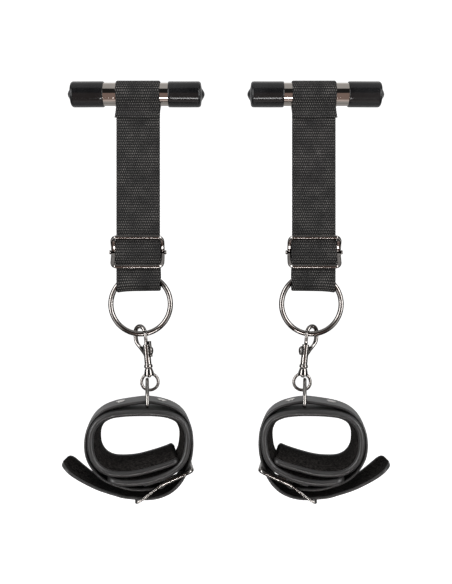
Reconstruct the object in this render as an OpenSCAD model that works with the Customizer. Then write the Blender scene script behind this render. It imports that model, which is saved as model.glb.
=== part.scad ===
// Pair of door anchor straps. Each one is a short tube with end caps, a webbing strap
// with a slider and an O-ring, a swivel bolt snap, and a padded cuff with a buckle.
// X runs along the tubes, Z is up, and Y runs through the thickness of the door gap.
// The origin is midway between the two tube axes, where the door edge carries them.

/* [Anchor tube] */
// Distance between the middles of the two tubes
anchor_spacing = 165.2; // [150:0.1:300]
// Outside diameter of the tube
tube_d = 21; // [18:0.5:24]
// Wall of the tube
tube_wall = 1.5; // [1:0.1:2.5]
// Outside diameter of a vinyl end cap
cap_d = 23.4; // [22:0.1:27]
// Distance from the middle of the tube to the mouth of a cap
cap_in = 29.8; // [26:0.1:34]
// Distance from the middle of the tube to the end of a cap
cap_out = 59.8; // [50:0.1:70]
// Height of the little nib that dipping leaves on a cap's end
nib_h = 2.4; // [1:0.1:4]

/* [Webbing] */
// Width of the webbing
web_w = 40; // [38:0.5:41]
// Thickness of the webbing
web_t = 1.6; // [1.2:0.1:1.8]
// Sideways place of the webbing, from the middle of the tube
web_x = 2.1; // [0:0.1:4]
// Depth of the hanging run
run_y = -2.5; // [-3:0.1:-2]
// Height of the lower end of the sewn loop that holds the tube
loop_end_z = -22.2; // [-24:0.1:-18]

/* [Slider] */
// Height of the slider's middle
slider_z = -145.2; // [-150:0.1:-140]
// Outside width of the slider
slider_w = 49.6; // [48:0.1:54]
// Outside height of the slider
slider_h = 30.2; // [28:0.1:34]
// Wire of the slider
slider_wire = 3.8; // [3:0.1:4]

/* [O-ring] */
// Inside diameter of the O-ring
ring_id = 50; // [48:0.5:52]
// Wire of the O-ring
ring_wire = 5; // [4:0.1:5]
// Height of the O-ring's centre
ring_z = -193.0; // [-195:0.1:-192]

/* [Snap hook] */
// Lean of the snap hook about Y, in degrees
hook_lean = 5.6; // [4:0.1:7]
// Twist of the snap hook about its own length, in degrees
hook_twist = 42; // [40:0.5:44]
// Wire of the hook's arch
hook_wire = 4; // [3.5:0.1:4.2]
// Distance from the bolt's axis to the middle of the hook's leg
hook_reach = 13.4; // [13.2:0.1:14]
// Diameter of the barrel
barrel_d = 6.4; // [6:0.1:7]

/* [Cuff] */
// Width of the pad
pad_w = 60; // [55:1:62]
// Thickness of the pad without its lining
pad_t = 4.4; // [4:0.1:4.6]
// Thickness of the lining
lining_t = 0.8; // [0.5:0.1:1]
// Width of the cuff's strap
strap_w = 38; // [36:0.5:38.5]
// Thickness of the cuff's strap
strap_t = 2.8; // [2.4:0.1:3]
// Turn of the cuff on its swivel, in degrees
cuff_turn = 6.3; // [0:0.1:10]
// Wire of the D-ring
dee_wire = 3.3; // [3:0.1:3.4]
// Inside width of the D-ring
dee_w = 40; // [39.5:0.5:42]
// Wire of the buckle
buckle_wire = 2.8; // [2.4:0.1:3]

/* [Hidden] */
$fn = 48;

// Depth of the O-ring's plane, behind the run so that the fold's front layer hangs straight
ring_y = run_y + 5.8;
// Radius of the O-ring's wire circle
ring_r = ring_id / 2 + ring_wire / 2;
// The O-ring's centre sits a little to the right of the webbing
ring_x = 3.7;
// Slider
slider_x = 1.4;
slider_bar_r = 1.3;
// depth of the slider's outer bars, in front of the run, and of its centre bar, behind it
slider_front_y = run_y - web_t / 2 - 0.2 - slider_wire / 2;
slider_bar_y = run_y + web_t / 2 + 0.3 + web_t + 0.1 + slider_bar_r;
// Snap hook: the top of the barrel
hook_x = 9.3;
hook_y = ring_y - 4.2;
hook_z = -230;
// Cuff: place of its own X = 0, and of the D-ring on it
cuff_x = 3.5;
dee_x = 6.7;
dee_r = dee_w / 2 + dee_wire / 2;
dee_bar_z = -283.8;
eye_down = 34.4;
eye_r = 7.6;
eye_wire = 2.9;
// Buckle bars in the cuff's X and Z
buckle_right = [46.4, -342.1];
buckle_mid = [19.2, -354.1];
buckle_left = [-3.1, -369.8];
buckle_y = 21.2;
// Where the strap's free tail starts to flex
tail_at = [-14.5, -364.8];

// A smooth curve through points, n steps between each two
function cr(a, b, c, d, t) = 0.5 * (2 * b + (c - a) * t
  + (2 * a - 5 * b + 4 * c - d) * t * t + (3 * b - a - 3 * c + d) * t * t * t);
function curve(p, n) = [
  for (i = [0:len(p) - 2]) for (k = [0:n - 1])
    cr(p[max(i - 1, 0)], p[i], p[i + 1], p[min(i + 2, len(p) - 1)], k / n),
  p[len(p) - 1]
];
function unit(v) = v / norm(v);
function side(v) = [-v[1], v[0]];
// Direction across the path at point i
function across(p, i) = side(unit(p[min(i + 1, len(p) - 1)] - p[max(i - 1, 0)]));
// Outline of a band that follows p, from a to b across it
function band(p, a, b) = concat(
  [for (i = [0:len(p) - 1]) p[i] + across(p, i) * a],
  [for (i = [len(p) - 1:-1:0]) p[i] + across(p, i) * b]
);
function arc2(c, r, a0, a1, n) = [for (k = [0:n]) c + r * [cos(a0 + (a1 - a0) * k / n), sin(a0 + (a1 - a0) * k / n)]];

// A tube of radius r along the closed path p, with m sides
module wire_loop(p, r, m) {
  n = len(p);
  dirs = [for (i = [0:n - 1]) unit(p[(i + 1) % n] - p[(i + n - 1) % n])];
  mid = [for (a = [0:2]) [for (q = p) q[a]] * [for (q = p) 1] / n];
  outs = [for (i = [0:n - 1]) let (o = p[i] - mid, u = o - (o * dirs[i]) * dirs[i]) unit(u)];
  pts = [for (i = [0:n - 1]) for (k = [0:m - 1])
    p[i] + r * (cos(360 * k / m) * outs[i] + sin(360 * k / m) * cross(dirs[i], outs[i]))];
  polyhedron(pts, [for (i = [0:n - 1]) for (k = [0:m - 1])
    let (a = i * m + k, b = i * m + (k + 1) % m, c = ((i + 1) % n) * m + (k + 1) % m, d = ((i + 1) % n) * m + k)
    each [[a, b, c], [a, c, d]]]);
}

// A flat band in the XZ plane, w wide along Y
module xz_band(outline, w) {
  translate([0, w / 2, 0]) rotate([90, 0, 0]) linear_extrude(w) polygon(outline);
}
// A flat band in the YZ plane, w wide along X
module yz_band(outline, w) {
  translate([-w / 2, 0, 0]) rotate([90, 0, 90]) linear_extrude(w) polygon(outline);
}
// The left unit stands at -X, the right one is its mirror image
module at_left() { translate([-anchor_spacing / 2, 0, 0]) children(); }
module at_right() { mirror([1, 0, 0]) translate([-anchor_spacing / 2, 0, 0]) children(); }
// The snap hook's own frame: origin at the barrel's top, Z up along it, X from the leg to the bolt
module at_hook() {
  translate([hook_x, hook_y, hook_z]) rotate([0, -hook_lean, 0]) rotate([0, 0, -hook_twist]) children();
}
// The cuff's own frame: its X = 0 and its middle plane, turned on the swivel
module at_cuff() {
  x = hook_x + eye_down * sin(hook_lean);
  translate([x, hook_y, 0]) rotate([0, 0, cuff_turn]) translate([cuff_x - x, 0, 0]) children();
}

// ---- anchor tube ----
module bar_tube() {
  color("dimgray") rotate([0, 90, 0]) difference() {
    cylinder(h = 2 * cap_out - 5, d = tube_d, center = true, $fn = 96);
    cylinder(h = 2 * cap_out, d = tube_d - 2 * tube_wall, center = true, $fn = 96);
  }
}
module bar_cap() {
  r = cap_d / 2;
  ri = tube_d / 2;
  color("black") rotate([0, 90, 0]) rotate_extrude($fn = 96) polygon(concat(
    [[ri, cap_in], [r - 0.3, cap_in], [r, cap_in + 0.4]],
    arc2([r - 2.6, cap_out - 2.6], 2.6, 0, 80, 6),
    [[4.2, cap_out + 0.2], [2.8, cap_out + 0.9], [1.6, cap_out + nib_h - 0.3], [0.8, cap_out + nib_h], [0, cap_out + nib_h]],
    [[0, cap_out - 2.4], [ri, cap_out - 2.4]]
  ));
}
module bar_cap_outer() { mirror([1, 0, 0]) bar_cap(); }
module bar_cap_inner() { bar_cap(); }

// ---- webbing ----
loop_r = tube_d / 2 + 0.3 + web_t / 2;
run_end_z = -160.6;
module strap_webbing() {
  // the short end hangs in front of the run and is sewn to it
  p = concat(
    [[run_y - web_t - 0.05, loop_end_z], [run_y - web_t - 0.05, -17.4]],
    arc2([0, 0], loop_r, 226, -46, 34),
    [[run_y, -17.4], [run_y, run_end_z]]
  );
  color([0.08, 0.08, 0.08]) translate([web_x, 0, 0]) yz_band(band(p, -web_t / 2, web_t / 2), web_w);
}
fold_c = [ring_y, -175.5];
module strap_ring_fold() {
  rr = 5.7;
  p = concat(
    [[run_y, run_end_z - 0.3], [run_y + 0.02, -169]],
    arc2(fold_c, rr, 180, 360, 16),
    curve([[ring_y + rr, -170.5], [ring_y + rr - 0.6, -165], [slider_bar_y + 3.4, -159.0], [slider_bar_y + 2.3, -156.2]], 4)
  );
  color([0.08, 0.08, 0.08]) translate([web_x, 0, 0]) yz_band(band(p, -web_t / 2, web_t / 2), web_w);
}
module strap_sewn_end() {
  rr = slider_bar_r + 0.1 + web_t / 2;
  c = [slider_bar_y, slider_z];
  p = concat(
    [[slider_bar_y + rr, -155.2], [slider_bar_y + rr, -150]],
    arc2(c, rr, 0, 180, 12),
    curve([[slider_bar_y - rr, -147.0], [slider_bar_y - rr + 0.5, -148.8], [slider_bar_y + 0.3, -151.2], [slider_bar_y + rr - web_t - 0.05, -153.2], [slider_bar_y + rr - web_t - 0.05, -155.2]], 4)
  );
  color([0.08, 0.08, 0.08]) translate([web_x, 0, 0]) yz_band(band(p, -web_t / 2, web_t / 2), web_w);
}

// ---- slider ----
// Rounded rectangle in X and Z, with the sides bowed back to the centre bar
function bow(z) = slider_front_y + (slider_bar_y - slider_front_y) * max(0, 1 - pow(abs(z) / (slider_h / 2 - slider_wire / 2), 1.7));
module slider_frame() {
  w = slider_w / 2 - slider_wire / 2;
  h = slider_h / 2 - slider_wire / 2;
  c = 2.6;
  flat = concat(
    arc2([w - c, h - c], c, 0, 90, 5), arc2([c - w, h - c], c, 90, 180, 5),
    [for (k = [1:7]) [-w, (h - c) * (1 - k / 4)]],
    arc2([c - w, c - h], c, 180, 270, 5), arc2([w - c, c - h], c, 270, 360, 5),
    [for (k = [1:7]) [w, (h - c) * (k / 4 - 1)]]
  );
  color("dimgray") translate([slider_x, 0, slider_z])
    wire_loop([for (q = flat) [q[0], bow(q[1]), q[1]]], slider_wire / 2, 12);
}
module slider_bar() {
  color("dimgray") translate([slider_x, slider_bar_y, slider_z]) rotate([0, 90, 0]) union() {
    cylinder(h = slider_w + 1, r = slider_bar_r, center = true);
    for (s = [-1, 1]) translate([0, 0, s * (slider_w / 2 + 0.8)]) cylinder(h = 1.5, r = 1.9, center = true);
  }
}

// ---- O-ring ----
module o_ring() {
  color("dimgray") translate([ring_x, ring_y, ring_z]) rotate([90, 0, 0])
    rotate_extrude($fn = 128) translate([ring_r, 0]) circle(d = ring_wire, $fn = 32);
}

// ---- snap hook ----
arch_r = hook_reach / 2;
arch_z = 10.4;
bolt_r = 1.6;
module hook_body() {
  color("dimgray") at_hook() union() {
    // arch over the O-ring, from the leg to the nose
    translate([-arch_r, 0, arch_z]) rotate([90, 0, 0]) rotate([0, 0, 16]) rotate_extrude(angle = 164, $fn = 64)
      translate([arch_r, 0]) circle(d = hook_wire, $fn = 24);
    // leg, and the flat web that leads it into the barrel
    translate([-hook_reach, 0, 2.2]) cylinder(h = arch_z - 1.8, d = hook_wire + 0.12, $fn = 24);
    translate([0, 1.5, 0]) rotate([90, 0, 0]) linear_extrude(3)
      polygon([[-hook_reach - 1.3, 3.6], [-hook_reach + 1.3, 3.6], [-hook_reach + 2.6, 1.2], [-7.2, -1.4], [-2.4, -1.8], [-2.4, -12.5], [-4.4, -9.4], [-9.5, -2.6], [-hook_reach - 0.9, 0.8]]);
    // barrel, open at the top for the bolt and slotted for the lever
    difference() {
      union() {
        translate([0, 0, -19.6]) cylinder(h = 19.6, d = barrel_d, $fn = 48);
        translate([0, 0, -21.5]) cylinder(h = 2.9, d = 8, $fn = 48);
      }
      translate([0, 0, -15.5]) cylinder(h = 20, r = bolt_r + 0.08, $fn = 48);
      translate([0, -1.1, -12.7]) cube([6, 2.2, 15.2]);
      translate([0, 0, -22]) cylinder(h = 8, r = 1.3, $fn = 32);
    }
  }
}
module hook_bolt() {
  color("dimgray") at_hook() union() {
    translate([0, 0, -5]) cylinder(h = 16.2, r = bolt_r, $fn = 48);
    // thumb lever, out through the slot and curled down
    translate([0, 0.9, 0]) rotate([90, 0, 0]) linear_extrude(1.8)
      polygon([[0, -1.6], [4.4, -1.2], [6.8, -2.4], [7.6, -5.2], [6.6, -8.6], [5.4, -10.0], [4.6, -9.2], [5.5, -6.8], [5.7, -5.2], [5.0, -4.2], [3.6, -3.9], [0, -4.4]]);
  }
}
module hook_spring() {
  // a small compression spring under the bolt
  color("silver") at_hook() translate([0, 0, -15.3])
    for (k = [0:6]) translate([0, 0, 1.25 + k * 1.4]) rotate_extrude($fn = 32) translate([1.2, 0]) circle(d = 0.5, $fn = 16);
}
module swivel_rivet() {
  color("dimgray") at_hook() union() {
    translate([0, 0, -29.6]) cylinder(h = 15.2, r = 1.3, $fn = 32);
    translate([0, 0, -30.4]) cylinder(h = 1.1, r = 1.7, $fn = 32);
  }
}

// ---- swivel eye ----
module swivel_eye() {
  color("dimgray") translate([hook_x, hook_y, hook_z]) rotate([0, -hook_lean, 0]) rotate([0, 0, cuff_turn]) difference() {
    union() {
      rotate_extrude($fn = 48) polygon([[1.36, -29.2], [4.4, -29.2], [4.7, -27.6], [4.4, -25.2], [3.7, -22.9], [3.3, -21.7], [1.36, -21.7]]);
      difference() {
        translate([0, 0, -eye_down]) rotate([90, 0, 0]) rotate_extrude($fn = 64) translate([eye_r, 0]) circle(d = eye_wire, $fn = 24);
        translate([0, 0, -25.5]) cylinder(h = 8, r = 3.2, center = true);
      }
    }
    // seat for the rivet's head
    translate([0, 0, -30.6]) cylinder(h = 2.2, r = 1.85, $fn = 32);
    translate([0, 0, -30.6]) cylinder(h = 12, r = 1.36, $fn = 32);
  }
}

// ---- cuff ----
module cuff_d_ring() {
  color("dimgray") at_cuff() translate([dee_x, 0, dee_bar_z]) union() {
    rotate([0, 0, 90]) rotate([90, 0, 0]) rotate_extrude(angle = 180, $fn = 96) translate([dee_r, 0]) circle(d = dee_wire, $fn = 24);
    rotate([90, 0, 0]) cylinder(h = 2 * dee_r, d = dee_wire, center = true, $fn = 24);
    for (s = [-1, 1]) translate([0, s * dee_r, 0]) sphere(d = dee_wire, $fn = 24);
  }
}
// The pad is one strip that overlaps itself under the wrist, from its inner end to its outer end
pad_path = curve([
  [30.2, -332.6], [18, -336.7], [0, -341.2], [-14, -342.3], [-26, -341.0], [-35.5, -335.6], [-41.3, -326.5],
  [-43.1, -315], [-40.9, -304.9], [-35.6, -297.1], [-26.8, -291.3], [-14, -289.0], [0, -288.7], [14, -289.0],
  [26.5, -291.3], [35.8, -297], [40.6, -306.5], [41.8, -318], [39.8, -329], [34.2, -337.2], [24.5, -343.4],
  [12, -347.8], [0, -350], [-12, -350.2], [-22, -348.6], [-28.2, -345.9]], 5);
module cuff_pad() {
  color([0.09, 0.09, 0.09]) at_cuff() difference() {
    xz_band(band(pad_path, -pad_t / 2 + lining_t / 2 - 0.1, pad_t / 2 + lining_t / 2), pad_w);
    at_rivets() translate([0, 0, -9]) cylinder(h = 8, r = 1.6, $fn = 32);
  }
}
module cuff_lining() {
  a = -pad_t / 2 + lining_t / 2 - 0.1;
  color([0.14, 0.14, 0.14]) at_cuff() xz_band(band(pad_path, a - lining_t, a), pad_w - 5);
}
// The strap starts with a lap round the buckle's centre bar and goes once round the cuff
wrap_r = buckle_wire / 2 + 0.15 + strap_t / 2;
strap_path = concat(
  curve([[3, -355], [8, -353.9], [13, -352.4], [16.6, -351.4]], 3),
  arc2(buckle_mid, wrap_r, 98, -86, 12),
  curve([[15, -357.9], [9, -358.6], [0, -358.9], [-9, -357.9], [-18, -355.2], [-27, -351.7], [-35.8, -346],
    [-42.6, -337.3], [-46.8, -328], [-48, -317], [-46.2, -305.5], [-41.2, -296], [-33.5, -289.0], [-25, -285.2], [-17.5, -283.4], [-8, -281.9],
    [0, -280.9], [dee_x, -280.5], [14, -281.3], [20, -282.6], [28, -285.2], [36, -289.8], [42, -296.6], [45.6, -306], [46.8, -317],
    [46.4, -326], [44.9, -334], [42.5, -341.5], [39.4, -348.4], [34.6, -355.4], [27.5, -361.6], [18.5, -365.5], [9, -367], [0, -366.6],
    [-8, -365.8], [-14, -364.9]], 4)
);
module cuff_strap() {
  color([0.06, 0.06, 0.06]) at_cuff() difference() {
    xz_band(band(strap_path, -strap_t / 2, strap_t / 2), strap_w);
    // holes for the rivets
    at_rivets() translate([0, 0, -4]) cylinder(h = 8, r = 1.6, $fn = 32);
    // slot for the prong's eye, and the hole that the prong goes through
    translate([14.2, -3.1, -359.6]) cube([11, 6.2, 10.2]);
    translate([39.4, 0, -348.4]) rotate([0, -21.7, 0]) translate([-6, -1.8, -7]) cube([11, 3.6, 8.8]);
  }
}
tail_path = curve([[-15, -364.7], [-21, -362.8], [-27, -360.8], [-36, -357.4], [-45, -353.0], [-53.5, -348.2],
  [-60.5, -343.4], [-66, -338.6], [-69.4, -335.4]], 3);
module cuff_strap_tail() {
  color([0.06, 0.06, 0.06]) at_cuff() intersection() {
    xz_band(band(tail_path, -strap_t / 2, strap_t / 2), strap_w);
    // the end is a broad tongue
    translate([0, 0, -400]) linear_extrude(100) union() {
      translate([-51.5, -strap_w / 2]) square([60, strap_w]);
      intersection() {
        translate([-51.5, 0]) circle(r = strap_w / 2, $fn = 96);
        translate([-90, -strap_w / 2]) square([60, strap_w]);
      }
    }
  }
}
// Each rivet stands square to the strap
module at_rivets() {
  for (q = [[-17.5, -283.4, -11], [20, -282.6, 15.6]]) translate([q[0], 0, q[1]]) rotate([0, q[2], 0]) children();
}
module cuff_rivets() {
  color("dimgray") at_cuff() at_rivets() union() {
    intersection() {
      translate([0, 0, strap_t / 2 - 3.5]) sphere(r = 5.4, $fn = 48);
      translate([0, 0, strap_t / 2 + 0.12]) cylinder(h = 4, r = 4.2, $fn = 48);
    }
    translate([0, 0, -4.4]) cylinder(h = 6.5, r = 1.5, $fn = 32);
  }
}

// ---- buckle ----
module buckle_frame() {
  a = buckle_left;
  b = buckle_right;
  m = buckle_mid;
  // the two end bars are joined by side rails that dip at the centre bar
  rail = curve([a, a + (m - a) * 0.33 + [0.5, -0.4], m - [2.5, 1.9], m + [2.5, 1.1], m + (b - m) * 0.6, b], 4);
  n = len(rail);
  loop = concat(
    [for (i = [2:n - 3]) [rail[i][0], -buckle_y, rail[i][1]]],
    [[rail[n - 2][0], -buckle_y + 0.8, rail[n - 2][1]], [b[0], -buckle_y + 2.6, b[1]]],
    [for (k = [-2:2]) [b[0], k * (buckle_y - 4) / 2.5, b[1]]],
    [[b[0], buckle_y - 2.6, b[1]], [rail[n - 2][0], buckle_y - 0.8, rail[n - 2][1]]],
    [for (i = [n - 3:-1:2]) [rail[i][0], buckle_y, rail[i][1]]],
    [[rail[1][0], buckle_y - 0.8, rail[1][1]], [a[0], buckle_y - 2.6, a[1]]],
    [for (k = [2:-1:-2]) [a[0], k * (buckle_y - 4) / 2.5, a[1]]],
    [[a[0], -buckle_y + 2.6, a[1]], [rail[1][0], -buckle_y + 0.8, rail[1][1]]]
  );
  color("silver") at_cuff() wire_loop(loop, buckle_wire / 2, 10);
}
module buckle_bar() {
  color("silver") at_cuff() translate([buckle_mid[0], 0, buckle_mid[1]]) rotate([90, 0, 0])
    cylinder(h = 2 * buckle_y + 1.2, r = buckle_wire / 2, center = true, $fn = 32);
}
module buckle_prong() {
  d = unit([47.7, -345.0] - (buckle_mid + [0.9, -1.9]));
  ang = atan2(d[1], d[0]);
  color("silver") at_cuff() union() {
    // eye round the centre bar
    translate([buckle_mid[0], 0, buckle_mid[1]]) rotate([90, 0, 0]) difference() {
      cylinder(h = 4.6, r = 2.7, center = true, $fn = 32);
      cylinder(h = 6, r = buckle_wire / 2 + 0.06, center = true, $fn = 32);
    }
    translate([buckle_mid[0] + 0.9, 0, buckle_mid[1] - 1.9]) rotate([0, -ang, 0]) rotate([0, 90, 0]) union() {
      translate([0, 0, 1.2]) cylinder(h = 29.2, r = 1.15, $fn = 24);
      translate([0, 0, 30.4]) sphere(r = 1.15, $fn = 24);
    }
  }
}

at_left() bar_tube();  // left_bar_tube
at_left() bar_cap_outer();  // left_bar_cap_outer
at_left() bar_cap_inner();  // left_bar_cap_inner
at_left() strap_webbing();  // left_strap_webbing
at_left() strap_ring_fold();  // left_strap_ring_fold
at_left() strap_sewn_end();  // left_strap_sewn_end
at_left() slider_frame();  // left_slider_frame
at_left() slider_bar();  // left_slider_bar
at_left() o_ring();  // left_o_ring
at_left() hook_body();  // left_hook_body
at_left() hook_bolt();  // left_hook_bolt
at_left() hook_spring();  // left_hook_spring
at_left() swivel_rivet();  // left_swivel_rivet
at_left() swivel_eye();  // left_swivel_eye
at_left() cuff_d_ring();  // left_cuff_d_ring
at_left() cuff_pad();  // left_cuff_pad
at_left() cuff_lining();  // left_cuff_lining
at_left() cuff_strap();  // left_cuff_strap
at_left() cuff_strap_tail();  // left_cuff_strap_tail
at_left() cuff_rivets();  // left_cuff_rivets
at_left() buckle_frame();  // left_buckle_frame
at_left() buckle_bar();  // left_buckle_bar
at_left() buckle_prong();  // left_buckle_prong
at_right() bar_tube();  // right_bar_tube
at_right() bar_cap_outer();  // right_bar_cap_outer
at_right() bar_cap_inner();  // right_bar_cap_inner
at_right() strap_webbing();  // right_strap_webbing
at_right() strap_ring_fold();  // right_strap_ring_fold
at_right() strap_sewn_end();  // right_strap_sewn_end
at_right() slider_frame();  // right_slider_frame
at_right() slider_bar();  // right_slider_bar
at_right() o_ring();  // right_o_ring
at_right() hook_body();  // right_hook_body
at_right() hook_bolt();  // right_hook_bolt
at_right() hook_spring();  // right_hook_spring
at_right() swivel_rivet();  // right_swivel_rivet
at_right() swivel_eye();  // right_swivel_eye
at_right() cuff_d_ring();  // right_cuff_d_ring
at_right() cuff_pad();  // right_cuff_pad
at_right() cuff_lining();  // right_cuff_lining
at_right() cuff_strap();  // right_cuff_strap
at_right() cuff_strap_tail();  // right_cuff_strap_tail
at_right() cuff_rivets();  // right_cuff_rivets
at_right() buckle_frame();  // right_buckle_frame
at_right() buckle_bar();  // right_buckle_bar
at_right() buckle_prong();  // right_buckle_prong
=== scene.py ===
import math
import bpy, bmesh
import numpy as np
from mathutils import Vector, Matrix


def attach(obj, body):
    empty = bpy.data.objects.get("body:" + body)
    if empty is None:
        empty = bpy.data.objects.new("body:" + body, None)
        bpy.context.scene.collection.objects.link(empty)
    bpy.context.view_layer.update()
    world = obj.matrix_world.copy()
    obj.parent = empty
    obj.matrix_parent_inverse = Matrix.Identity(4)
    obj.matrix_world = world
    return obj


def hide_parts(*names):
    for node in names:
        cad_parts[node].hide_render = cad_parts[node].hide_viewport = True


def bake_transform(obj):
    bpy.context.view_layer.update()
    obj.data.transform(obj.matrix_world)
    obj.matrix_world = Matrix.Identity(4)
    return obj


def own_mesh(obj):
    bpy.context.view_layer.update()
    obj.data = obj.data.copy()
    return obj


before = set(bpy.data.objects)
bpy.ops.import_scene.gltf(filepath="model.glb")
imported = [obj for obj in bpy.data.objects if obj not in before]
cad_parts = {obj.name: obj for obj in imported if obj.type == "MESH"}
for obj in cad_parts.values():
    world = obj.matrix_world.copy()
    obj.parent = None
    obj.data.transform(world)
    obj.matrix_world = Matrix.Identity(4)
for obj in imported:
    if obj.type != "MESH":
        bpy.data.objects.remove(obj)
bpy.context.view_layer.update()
RNG = np.random.RandomState(7)

SP = 82.6                 # mm, half the spacing of the tubes
LEAN, TWIST, TURN = 5.6, 42.0, 6.3
RING_Y, RING_X, RING_Z = 3.3, 3.7, -193.0
HOOK = np.array([9.3, -0.9, -230.0])
EYE_DOWN = 34.4
CUFF_X, DEE_X, DEE_Z = 3.5, 6.7, -283.8
PIV_X = HOOK[0] + EYE_DOWN * math.sin(math.radians(LEAN))
WEB_X, WEB_W, WEB_T, RUN_Y = 2.1, 40.0, 1.6, -2.5
SL_X, SL_Z, SLB_Y = 1.4, -145.2, 1.6
SLF_Y = RUN_Y - WEB_T / 2 - 0.2 - 1.9
PAD_W, PAD_T = 60.0, 5.2
STRAP_W, STRAP_T = 38.0, 2.8
BUCK = {"r": np.array([46.4, -342.1]), "m": np.array([19.2, -354.1]), "l": np.array([-3.1, -369.8])}

# ------------------------------------------------------------------ materials
def new_mat(name):
    m = bpy.data.materials.new(name)
    m.use_nodes = True
    nt = m.node_tree
    for n in list(nt.nodes):
        nt.nodes.remove(n)
    out = nt.nodes.new("ShaderNodeOutputMaterial")
    b = nt.nodes.new("ShaderNodeBsdfPrincipled")
    nt.links.new(b.outputs[0], out.inputs[0])
    return m, nt, b

def node(nt, kind, **kw):
    n = nt.nodes.new(kind)
    for k, v in kw.items():
        if k.startswith("i_"):
            n.inputs[k[2:].replace("_", " ")].default_value = v
        else:
            setattr(n, k, v)
    return n

def ramp(nt, fac, stops):
    r = nt.nodes.new("ShaderNodeValToRGB")
    el = r.color_ramp.elements
    while len(el) > 1:
        el.remove(el[-1])
    el[0].position, el[0].color = stops[0][0], (*stops[0][1], 1)
    for p, c in stops[1:]:
        e = el.new(p)
        e.color = (*c, 1)
    nt.links.new(fac, r.inputs[0])
    return r.outputs[0]

def mapr(nt, fac, a, b, c, d):
    m = node(nt, "ShaderNodeMapRange")
    m.inputs[1].default_value, m.inputs[2].default_value = a, b
    m.inputs[3].default_value, m.inputs[4].default_value = c, d
    nt.links.new(fac, m.inputs[0])
    return m.outputs[0]

def math_n(nt, op, a, b=None):
    m = node(nt, "ShaderNodeMath", operation=op)
    for i, v in enumerate((a, b)):
        if v is None:
            continue
        if isinstance(v, (int, float)):
            m.inputs[i].default_value = v
        else:
            nt.links.new(v, m.inputs[i])
    return m.outputs[0]

def bump(nt, b, height, strength, distance):
    n = node(nt, "ShaderNodeBump")
    n.inputs["Strength"].default_value = strength
    n.inputs["Distance"].default_value = distance
    nt.links.new(height, n.inputs["Height"])
    nt.links.new(n.outputs[0], b.inputs["Normal"])
    return n

def metal(name, dark, light, rough, scale=180.0, wear=0.5):
    m, nt, b = new_mat(name)
    co = node(nt, "ShaderNodeTexCoord").outputs["Object"]
    n1 = node(nt, "ShaderNodeTexNoise")
    n1.inputs["Scale"].default_value, n1.inputs["Detail"].default_value = scale, 6
    nt.links.new(co, n1.inputs[0])
    n2 = node(nt, "ShaderNodeTexNoise")
    n2.inputs["Scale"].default_value, n2.inputs["Detail"].default_value = scale * 9, 3
    nt.links.new(co, n2.inputs[0])
    nt.links.new(ramp(nt, n1.outputs[0], [(0.3, dark), (0.72, light)]), b.inputs["Base Color"])
    nt.links.new(mapr(nt, n1.outputs[0], 0.3, 0.75, rough * 0.75, rough * 1.45), b.inputs["Roughness"])
    b.inputs["Metallic"].default_value = 1.0
    bump(nt, b, n1.outputs[0], 0.02 * wear, 0.00004)
    return m

def webbing_mat():
    m, nt, b = new_mat("webbing")
    uv = node(nt, "ShaderNodeUVMap", uv_map="UVMap").outputs[0]
    sep = node(nt, "ShaderNodeSeparateXYZ")
    nt.links.new(uv, sep.inputs[0])
    u, v = sep.outputs[0], sep.outputs[1]        # metres across and along
    # ribs: one each 2.4 mm along; yarns: one each 1.25 mm across, staggered rib by rib
    rib = math_n(nt, "MULTIPLY", v, 1 / 0.0024)
    half = math_n(nt, "MULTIPLY", math_n(nt, "FLOOR", rib), 0.5)
    yarn = math_n(nt, "ADD", math_n(nt, "MULTIPLY", u, 1 / 0.0020), half)
    ys = math_n(nt, "SINE", math_n(nt, "MULTIPLY", yarn, 2 * math.pi))
    rs = math_n(nt, "SINE", math_n(nt, "MULTIPLY", rib, 2 * math.pi))
    n1 = node(nt, "ShaderNodeTexNoise")
    n1.inputs["Scale"].default_value, n1.inputs["Detail"].default_value = 1400, 4
    nt.links.new(uv, n1.inputs[0])
    n2 = node(nt, "ShaderNodeTexNoise")
    n2.inputs["Scale"].default_value, n2.inputs["Detail"].default_value = 60, 3
    nt.links.new(uv, n2.inputs[0])
    h = math_n(nt, "ADD", math_n(nt, "MULTIPLY", ys, 0.34), math_n(nt, "MULTIPLY", rs, 0.30))
    h = math_n(nt, "ADD", h, math_n(nt, "MULTIPLY", n1.outputs[0], 0.7))
    # base colour follows the weave height h: yarn crests are a painted highlight, troughs are painted shade darker, and
    # the noise adds random tone
    weave_shade_and_tone = mapr(nt, h, -0.25, 1.0, 0.0, 1.0)
    weave_shade_and_tone = math_n(nt, "MULTIPLY", weave_shade_and_tone, mapr(nt, n2.outputs[0], 0.3, 0.7, 0.8, 1.15))
    nt.links.new(ramp(nt, weave_shade_and_tone, [(0.0, (0.0012, 0.0012, 0.0013)), (0.5, (0.0055, 0.0053, 0.0053)), (0.75, (0.019, 0.018, 0.0175)), (1.0, (0.085, 0.079, 0.074))]), b.inputs["Base Color"])
    b.inputs["Roughness"].default_value = 0.62
    b.inputs["Specular IOR Level"].default_value = 0.22
    b.inputs["Sheen Weight"].default_value = 0.02
    b.inputs["Sheen Roughness"].default_value = 0.45
    bump(nt, b, h, 0.7, 0.00028)
    return m

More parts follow.
